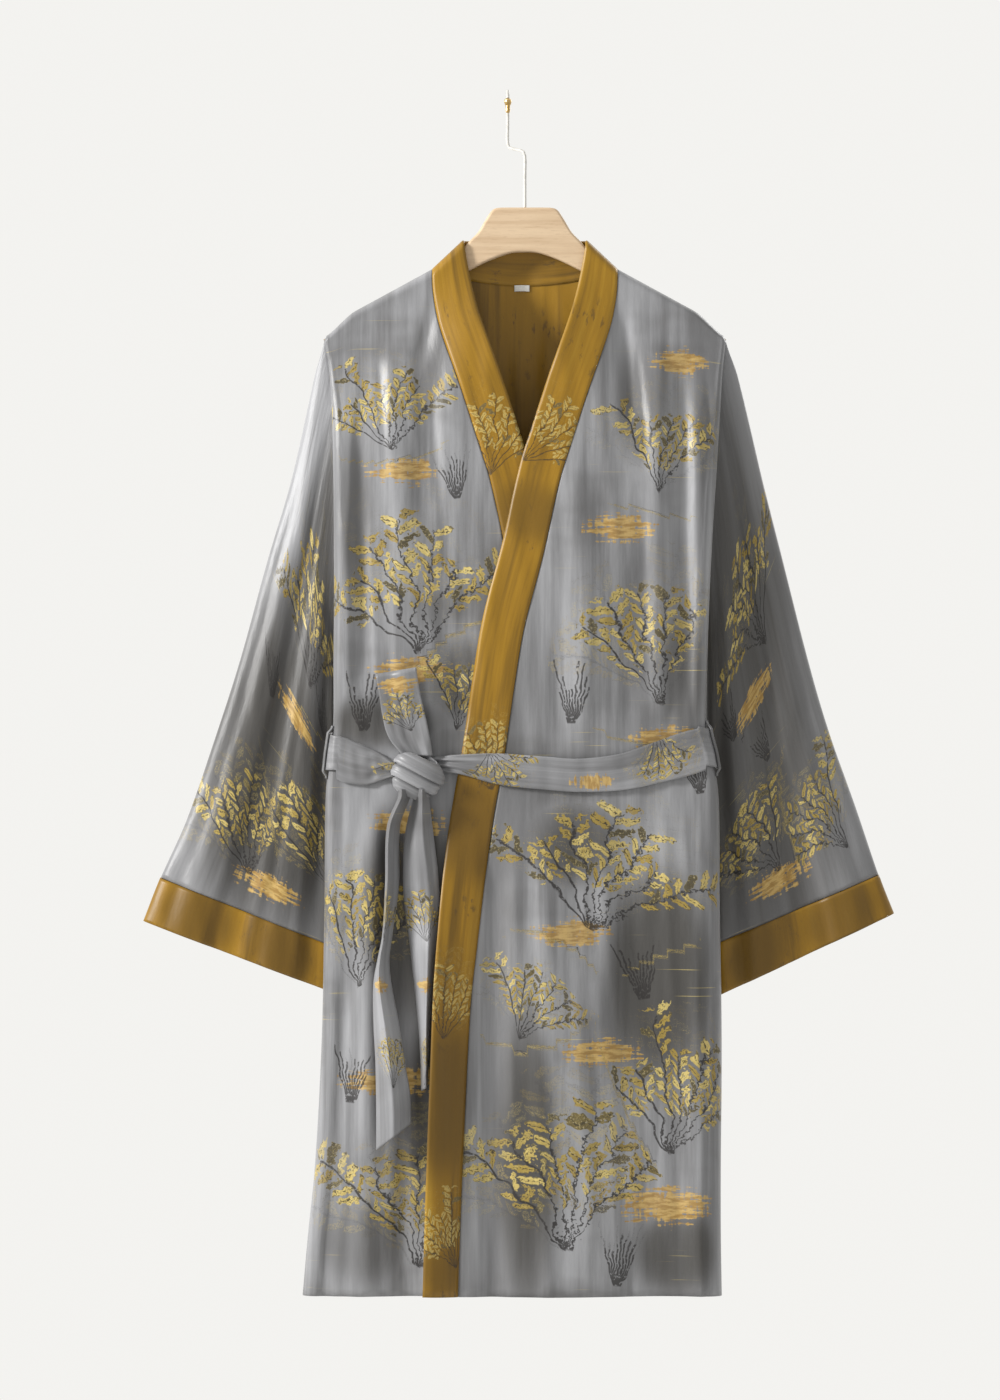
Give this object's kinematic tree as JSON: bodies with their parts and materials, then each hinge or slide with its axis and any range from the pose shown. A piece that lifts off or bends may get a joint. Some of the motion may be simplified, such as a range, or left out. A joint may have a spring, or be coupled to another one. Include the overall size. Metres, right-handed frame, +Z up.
{
  "type": "kimono robe on a wooden hanger",
  "caption": "Knee-length kimono robe in grey printed satin-like cloth with an ochre neck band and cuffs, tied with its own belt and hung on a pale wooden hanger.",
  "frame": {"origin": "underside of the hook's arch, where a rail or peg carries the hanger", "axes": "+Z up, -Y out of the robe's front toward the viewer, +X to the viewer's right"},
  "size_m": [0.7981, 0.117, 1.2695],
  "materials": {
    "robe_cloth": "washed grey satin-like cloth with a gold and charcoal leafy print",
    "contrast_cloth": "ochre satin-like cloth with brushed streaks",
    "label_cloth": "plain woven white tape",
    "hanger_wood": "pale satin maple",
    "hook_wire": "pale satin metal",
    "brass": "satin"
  },
  "bodies": {
    "root": {"back_panel": "robe_cloth", "left_front": "robe_cloth", "right_front": "robe_cloth", "left_sleeve": "robe_cloth", "right_sleeve": "robe_cloth", "left_cuff": "contrast_cloth", "right_cuff": "contrast_cloth", "collar_left": "contrast_cloth", "collar_right": "contrast_cloth", "collar_back": "contrast_cloth", "belt_round": "robe_cloth", "belt_knot": "robe_cloth", "belt_bow_loop": "robe_cloth", "belt_end_a": "robe_cloth", "belt_end_b": "robe_cloth", "belt_loop_left": "robe_cloth", "belt_loop_right": "robe_cloth", "size_label": "label_cloth", "hanger": "hanger_wood", "hook_wire": "hook_wire", "hook_tip": "brass"}
  },
  "joints": []
}
